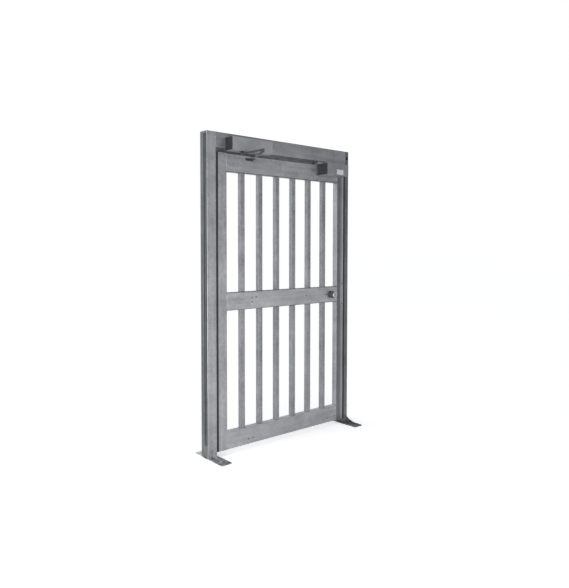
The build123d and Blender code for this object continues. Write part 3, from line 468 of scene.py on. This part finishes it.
# The latch stile is a shaded copy of the zinc, a painted shade, with a painted highlight band along its
# latch side.
stile_x = low("latch_stile").x, high("latch_stile").x
highlight_share = 0.35
highlight_from = stile_x[0] + highlight_share * (stile_x[1] - stile_x[0])
latch_stile_shade_steel = spangled("latch_stile_shade_highlight_zinc", grey(0.24), grey(0.12), contrast=0.8, band=(highlight_from, stile_x[1]))
# The latch post is a shaded copy of the zinc: painted shade.
latch_post_shade_steel = spangled("latch_post_shade_zinc", grey(0.25), grey(0.12), contrast=0.8)
# Near-black zinc for corners, for faces in gaps and for the rails' insides: painted shade.
gap_shade_steel = spangled("gap_edge_shade_zinc", grey(0.12), grey(0.05), contrast=0.6)
# Darker zinc for the groove in the left post's side: painted shade.
groove_shade_steel = spangled("groove_shade_zinc", grey(0.24), grey(0.12), contrast=0.6)
# The left foot plate and gusset are a lit copy of the zinc, a painted light, painted near white towards the
# back of the plate.
post_y = low("left_post").y, high("left_post").y
lit_left_foot_steel = spangled("lit_left_foot_zinc", grey(0.58), grey(0.12), contrast=1.2, scale=60.0,
                           dust_amount=0.1, grime_amount=0.1, band=post_y, band_along_y=1.0, band_light=0.95)
# The right foot plate and gusset are a near-black shaded copy of the zinc: painted shade.
shaded_right_foot_steel = spangled("shaded_right_foot_zinc", grey(0.30), grey(0.03), contrast=1.5, scale=60.0,
                            dust_amount=0.0, grime_amount=0.3)
guard_steel = spangled("fresh_zinc", grey(0.46), grey(0.32), contrast=0.5, scale=160.0)
weld_zinc = spangled("galvanised_weld", grey(0.30), grey(0.08), contrast=1.0, scale=240.0)
print("zinc finishes:", len(bpy.data.materials))

# %% [markdown]
# ## Paint, plastic, rubber and bright metal
#
# The small fittings are not galvanised. The closer's cover is silver paint and its arms are charcoal
# paint, the end caps are moulded, the lock is anodised, and what slides or turns is plated. The floor
# is a pale paint that glows a little for the camera alone, so that it meets the white backdrop without
# a seam and lights nothing.

# %% Mix the other finishes
cover_paint = grained("silver_paint", grey(0.34), grey(0.25), 0.40, 0.52, scale=900.0, Metallic=0.35)
dark_paint = grained("charcoal_paint", grey(0.075), grey(0.045), 0.38, 0.55, scale=700.0, bump=0.14,
                     Metallic=0.2)
dark_moulding = grained("dark_moulding", grey(0.030), grey(0.018), 0.42, 0.60, scale=1400.0, bump=0.2)
seal_rubber = grained("seal_rubber", grey(0.022), grey(0.012), 0.60, 0.80, scale=500.0, bump=0.15)
plated = grained("bright_zinc_plate", grey(0.62), grey(0.42), 0.26, 0.42, scale=260.0, stretch=0.12,
                 Metallic=0.95)
spring_wire_steel = grained("oiled_spring_steel", grey(0.16), grey(0.09), 0.25, 0.4, scale=600.0,
                            Metallic=0.9)
anodised = grained("anodised_aluminium", grey(0.40), grey(0.28), 0.34, 0.46, scale=420.0, stretch=0.08,
                   Metallic=0.8)
winding = grained("lacquered_winding", (0.30, 0.12, 0.05, 1), (0.18, 0.07, 0.03, 1), 0.25, 0.45,
                  scale=350.0)
label_film = grained("blank_label_film", (0.58, 0.59, 0.60, 1), (0.46, 0.47, 0.48, 1), 0.25, 0.40,
                     scale=200.0)
knob_chrome = grained("satin_chrome", grey(0.66), grey(0.50), 0.42, 0.55, scale=500.0, Metallic=1.0)
floor_paint = grained("pale_floor", (0.95, 0.95, 0.95, 1), (0.93, 0.93, 0.93, 1), 0.75, 0.9, scale=30.0,
                      bump=0.02, Emission_Color=(1, 1, 1, 1))
floor_tree = floor_paint.node_tree
floor_ray = wire(floor_tree, "LightPath").outputs["Is Camera Ray"]
floor_glow = wire(floor_tree, "MapRange", {"To Max": 0.36}, {"Value": floor_ray})
floor_tree.links.new(floor_glow.outputs[0], floor_tree.nodes["Principled BSDF"].inputs["Emission Strength"])
floor.data.materials.append(floor_paint)
print("materials:", len(bpy.data.materials))

# %% [markdown]
# ## Dressing the measured parts
#
# The parts keep their shape. Two things are added. First, faces that belong to a rounded corner get the
# second material slot. On the top rail, the mid rail, the header, the bars, the hinge stile and the latch
# post that slot is a darker zinc, a painted shade for the dark lines along corners and gaps; on the other
# parts it is a plainer corner zinc or the part's own finish. Second, parts with sawn or stamped edges get
# a Weld modifier, which joins the split corners that the file format leaves, and a narrow Bevel, whose
# own faces take the second slot too. Light then catches every edge, as it does on real steel. Where
# corners are not what matters, a limit on the face's direction chooses the first slot instead; on the
# two stiles, the left post and the knob that limit paints one side lighter or darker, as painted light
# and shade.


# %% Functions that dress a part
flat_limit = 0.995
join_distance = 0.00002
sharp_angle = 40


def is_flat(normal):
    """True for a face that is square to the gate, false for one on a rounded corner."""
    return max(abs(v) for v in normal) > flat_limit


def dress(names, face_material, edge_material=None, edge=0.0, first_slot=is_flat):
    """Finish parts: one material for faces, one for corners, and a bevel of that width on sharp edges."""
    for name in names:
        part = nodes[name]
        part.data.materials.clear()
        part.data.materials.append(face_material)
        part.data.materials.append(edge_material or face_material)
        for face in part.data.polygons:
            face.material_index = 0 if first_slot(face.normal) else 1
        if edge:
            weld = part.modifiers.new("join_corners", "WELD")
            weld.merge_threshold = join_distance
            bevel = part.modifiers.new("soft_edge", "BEVEL")
            bevel.width = edge
            bevel.segments = 2
            bevel.limit_method = "ANGLE"
            bevel.angle_limit = math.radians(sharp_angle)
            bevel.material = 1
            bevel.harden_normals = True


def numbered(pattern, count):
    """Names of parts that repeat, such as bar_1 to bar_6."""
    return [pattern.format(i) for i in range(1, count + 1)]


print("dressing functions ready")

# %% Give each part its finish
gap_side = -0.3
inner_side = -0.9
groove_side = -0.75
knob_front = -0.6
bars = numbered("bar_{}", 6)
hinge_halves = numbered("hinge_{}_post_half", 4) + numbered("hinge_{}_leaf_half", 4)
# Corners of the top rail, the mid rail and the header take the near-black zinc: painted shade.
dress(["top_rail"], rail_steel, gap_shade_steel)
dress(["mid_rail"], mid_rail_steel, gap_shade_steel)
dress(["bottom_rail"], rail_steel, steel_edge)
dress(["header"], header_steel, gap_shade_steel)
# The bars' corners take their darker zinc: painted shade.
dress(bars, bar_steel, bar_corner_shade)
# The hinge stile's faces and corners that look into the hinge gap take the near-black zinc: painted shade.
dress(["hinge_stile"], steel, gap_shade_steel, first_slot=lambda normal: normal.x > gap_side)
# The latch stile's front is the shaded copy, a painted shade, and its face towards the hinge side a lit
# copy, a painted light.
dress(["latch_stile"], latch_stile_shade_steel, steel, first_slot=lambda normal: normal.x > inner_side)
# The latch post takes its shaded copy and near-black corners: painted shade.
dress(["right_post"], latch_post_shade_steel, gap_shade_steel)
# The left post's side faces take the dark zinc: painted shade.
dress(["left_post"], steel, shaded_steel, first_slot=lambda normal: normal.x > groove_side)
dress(["post_caps", "header_lath"] + hinge_halves, steel, steel_edge, 0.8 * mm)
# The left foot takes the lit copy: painted light.
dress(["left_base_plate", "left_gusset"], lit_left_foot_steel, edge=0.8 * mm)
# The right foot takes the shaded copy: painted shade.
dress(["right_base_plate", "right_gusset"], shaded_right_foot_steel, edge=0.8 * mm)
dress(["closer_cover"], cover_paint, edge=1.2 * mm)
dress(["closer_end_caps", "lock_end_plates"], dark_moulding, edge=1.0 * mm)
dress(["closer_body", "closer_back_plate", "main_arm", "forearm_sleeve", "arm_shoe", "arm_screw",
       "elbow_pin"], dark_paint, edge=0.6 * mm)
dress(["latch_seal", "hinge_seal"], seal_rubber, edge=1.0 * mm)
dress(["lock_housing"], anodised, edge=0.8 * mm)
dress(["magnet_coil"], winding, edge=0.5 * mm)
dress(["lock_label_plate"], label_film, edge=0.2 * mm)
# The knob's sides take the charcoal paint, a painted shade; only its front faces are chrome.
dress(["knob"], knob_chrome, dark_paint, first_slot=lambda normal: normal.y < knob_front)
dress(["knob_rosette"], dark_paint, edge=0.3 * mm)
dress(["leaf_screws"], dark_moulding)
dress(["bolt_guard"], guard_steel, edge=0.4 * mm)
dress(["closer_spring"], spring_wire_steel)
dress(["strike_plate", "hinge_pins", "closer_piston", "closer_spindle", "forearm_rod",
       "armature_plate", "armature_bolt", "knob_shaft", "dead_bolt", "bolt_case",
       "lock_bracket", "magnet_core"], plated, edge=0.3 * mm)
print("parts dressed:", sum(len(nodes[n].data.materials) > 1 for n in nodes))

# %% [markdown]
# ## Groove, ledges and insides
#
# Three places need a finish that a whole part doesn't have. The rolled groove along the hinge post's
# side is painted darker, as painted shade. The ledges on top of the two lower rails are painted much
# lighter, as a painted highlight. The insides of those rails, seen through their drilled holes, are
# painted dark, as painted shade. Each is found by where a face lies or which way it looks, and gets a
# further slot.

# %% Give the groove, ledges and insides their own slots
groove_slot, ledge_slot, inside_slot = 2, 2, 3
post_skin = 1 * mm
groove_reach = 9 * mm
groove_share = 0.9
wall_limit = 0.1
ledge_limit = 0.9
post_left = low("left_post").x
groove_half_width = groove_share * high("left_post").y
post_faces = nodes["left_post"].data
# Faces inside the groove take the darker zinc: painted shade.
post_faces.materials.append(groove_shade_steel)
for face in post_faces.polygons:
    in_groove = post_left + post_skin < face.center.x < post_left + groove_reach
    if in_groove and abs(face.center.y) < groove_half_width:
        face.material_index = groove_slot
# Rail tops take the painted highlight, and faces inside the rails the painted shade.
for name in ("mid_rail", "bottom_rail"):
    rail_faces = nodes[name].data
    rail_faces.materials.append(ledge_highlight_steel)
    rail_faces.materials.append(gap_shade_steel)
    rail_middle = middle(name)
    for face in rail_faces.polygons:
        outward = face.center - rail_middle
        outward.x = 0
        if abs(face.normal.x) > wall_limit or outward.dot(face.normal) < 0:
            face.material_index = inside_slot
        elif face.normal.z > ledge_limit:
            face.material_index = ledge_slot
print("parts with further slots:", [n for n in nodes if len(nodes[n].data.materials) > 2])

# %% [markdown]
# ## Weld beads
#
# The gate is cut tube, welded. A bead is a row of overlapping puddles, so its section swells and
# shrinks every few millimetres. It could be a curve with a bevel, but a curve can't ripple, so each
# bead is a tube of short rings whose radius follows a sine wave. Beads of one kind on one body are one
# mesh, because they never come apart. In an inner corner a bead fills the corner. Where two flat faces
# meet in one plane, it is sunk so that only a low crown stands out, as if it had been ground back, and
# it has the rail's own finish.

# %% Functions that lay a bead
ring_sides = 8
ripple_pitch = 3.2 * mm
ripple_share = 0.13
ripple_wander = 0.9
wander_pitch = 0.7
end_share = 0.35
end_growth = 4.0
fewest_steps = 6


def skin_rings(mesh, rings):
    """Join each ring of corners to the next with faces, and close both ends."""
    for first, second in zip(rings, rings[1:]):
        for k in range(ring_sides):
            after = (k + 1) % ring_sides
            mesh.faces.new((first[k], first[after], second[after], second[k]))
    mesh.faces.new(reversed(rings[0]))
    mesh.faces.new(rings[-1])


def add_ring(mesh, centre, radius, side, up):
    """Add one ring of corners about a centre, in the plane of two directions."""
    turns_of_ring = [2 * math.pi * k / ring_sides for k in range(ring_sides)]
    return [mesh.verts.new(centre + radius * (math.cos(t) * side + math.sin(t) * up)) for t in turns_of_ring]


def lay_bead(mesh, start, end, radius):
    """Add one rippled bead from start to end."""
    start, end = Vector(start), Vector(end)
    run = end - start
    along = run.normalized()
    side = along.orthogonal().normalized()
    up = along.cross(side)
    steps = max(fewest_steps, round(run.length / (ripple_pitch / 2)))
    rings = []
    for i in range(steps + 1):
        taper = min(1.0, end_share + end_growth * min(i, steps - i) / steps)
        ripple = math.sin(math.pi * i + ripple_wander * math.sin(i * wander_pitch))
        swell = radius * taper * (1 + ripple_share * ripple)
        rings.append(add_ring(mesh, start + run * (i / steps), swell, side, up))
    skin_rings(mesh, rings)


def finish_mesh(name, mesh, material, body):
    """Turn a bmesh into a shown piece that rides on a body."""
    bmesh.ops.recalc_face_normals(mesh, faces=mesh.faces)
    data = bpy.data.meshes.new(name)
    mesh.to_mesh(data)
    mesh.free()
    data.materials.append(material)
    for face in data.polygons:
        face.use_smooth = True
    piece = bpy.data.objects.new(name, data)
    bpy.context.scene.collection.objects.link(piece)
    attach(piece, body)
    return piece


print("weld functions ready")

# %% Weld the leaf
bead = 2.4 * mm
flush_bead = 3.2 * mm
flush_sink = 2.5 * mm
corner_sink = 0.6 * mm
bar_stop = 3 * mm
rail_stop = 4 * mm
edge_stop = 5 * mm
leaf_front, leaf_rear = low("hinge_stile").y, high("hinge_stile").y
leaf_low, leaf_high = low("hinge_stile").z + 1 * mm, high("hinge_stile").z
leaf_beads = bmesh.new()
leaf_ground = bmesh.new()
for rail in ("top_rail", "mid_rail", "bottom_rail"):
    bottom, top = low(rail).z, high(rail).z
    for x in (low(rail).x, high(rail).x):
        for y in (leaf_front + flush_sink, leaf_rear - flush_sink):
            lay_bead(leaf_ground, (x, y, bottom + rail_stop), (x, y, top - rail_stop), flush_bead)
        corner_x = x + (corner_sink if x < middle(rail).x else -corner_sink)
        for z in (bottom - corner_sink, top + corner_sink):
            if leaf_low < z < leaf_high:
                lay_bead(leaf_beads, (corner_x, leaf_front + edge_stop, z),
                         (corner_x, leaf_rear - edge_stop, z), bead)
for bar in bars:
    x0, x1, y0, y1 = low(bar).x, high(bar).x, low(bar).y, high(bar).y
    for z in (high("bottom_rail").z, low("mid_rail").z, high("mid_rail").z, low("top_rail").z):
        for x in (x0, x1):
            lay_bead(leaf_beads, (x, y0 + bar_stop, z), (x, y1 - bar_stop, z), bead)
        for y in (y0, y1):
            lay_bead(leaf_beads, (x0 + bar_stop, y, z), (x1 - bar_stop, y, z), bead)
finish_mesh("leaf_weld_beads", leaf_beads, weld_zinc, "leaf")
finish_mesh("leaf_ground_welds", leaf_ground, rail_steel, "leaf")

# %% Weld the frame
header_stop = 6 * mm
foot_bead = 1.3 * bead
frame_beads = bmesh.new()
frame_ground = bmesh.new()
front, rear = low("header").y, high("header").y
header_bottom, header_top = low("header").z, high("header").z
for x in (low("header").x, high("header").x):
    for y in (front + flush_sink, rear - flush_sink):
        lay_bead(frame_ground, (x, y, header_bottom + edge_stop), (x, y, header_top - edge_stop), flush_bead)
    lay_bead(frame_beads, (x, front + header_stop, header_bottom),
             (x, low("header_lath").y, header_bottom), bead)
for side in ("left", "right"):
    post, rib, plate_top = f"{side}_post", f"{side}_gusset", high(f"{side}_base_plate").z
    x0, x1, y0, y1 = low(post).x, high(post).x, low(post).y, high(post).y
    for x in (x0, x1):
        lay_bead(frame_beads, (x, y0 + rail_stop, plate_top), (x, y1 - rail_stop, plate_top), foot_bead)
    for y in (y0, y1):
        lay_bead(frame_beads, (x0 + rail_stop, y, plate_top), (x1 - rail_stop, y, plate_top), foot_bead)
    for x in (low(rib).x, high(rib).x):
        lay_bead(frame_beads, (x, y0, plate_top), (x, y0, high(rib).z - bar_stop), bead)
        lay_bead(frame_beads, (x, y0, plate_top), (x, low(rib).y + rail_stop, plate_top), bead)
finish_mesh("frame_weld_beads", frame_beads, weld_zinc, "frame")
finish_mesh("frame_ground_welds", frame_ground, header_steel, "frame")

# %% [markdown]
# ## The closer's spring
#
# The measured part is only the sleeve that the spring fills. Here it is wound: one wire, swept along a
# helix. It could be a curve given a thickness, but here the wire's rings are placed by formula, so the
# turns near both ends lie closer together, as they do on a compression spring.

# %% Wind the spring
spring_low, spring_high = low("closer_spring"), high("closer_spring")
wire_radius = 2.0 * mm
coil_radius = (spring_high.z - spring_low.z) / 2 - wire_radius
wound_length = spring_high.x - spring_low.x - 2 * wire_radius
turns = 13
steps_per_turn = 24
closing = 0.035
coil_axis = Vector((0, middle("closer_spring").y, middle("closer_spring").z))
along_x = Vector((1, 0, 0))
spring_mesh = bmesh.new()
spring_rings = []
for i in range(turns * steps_per_turn + 1):
    angle = 2 * math.pi * i / steps_per_turn
    share = i / (turns * steps_per_turn)
    eased = share - closing * math.sin(2 * math.pi * share)
    outward = Vector((0, math.cos(angle), math.sin(angle)))
    on_axis = coil_axis + (spring_low.x + wire_radius + eased * wound_length) * along_x
    wire_centre = on_axis + coil_radius * outward
    spring_rings.append(add_ring(spring_mesh, wire_centre, wire_radius, outward, along_x))
skin_rings(spring_mesh, spring_rings)
spring = finish_mesh("wound_spring", spring_mesh, spring_wire_steel, "frame")
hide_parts("closer_spring")
print("spring turns:", turns)

# %% [markdown]
# ## Measure and finish
#
# The box of the dressed gate is compared with the box of the measured one, so that a bead or bevel
# that makes the gate bigger than it is shows up. The growth below and above is printed in millimetres.

# %% Compare the boxes and finish
visual_low, visual_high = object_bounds()
for words, growth in (("below", cad_low - visual_low), ("above", visual_high - cad_high)):
    print("growth", words, "in mm:", [round(v / mm, 2) for v in growth])
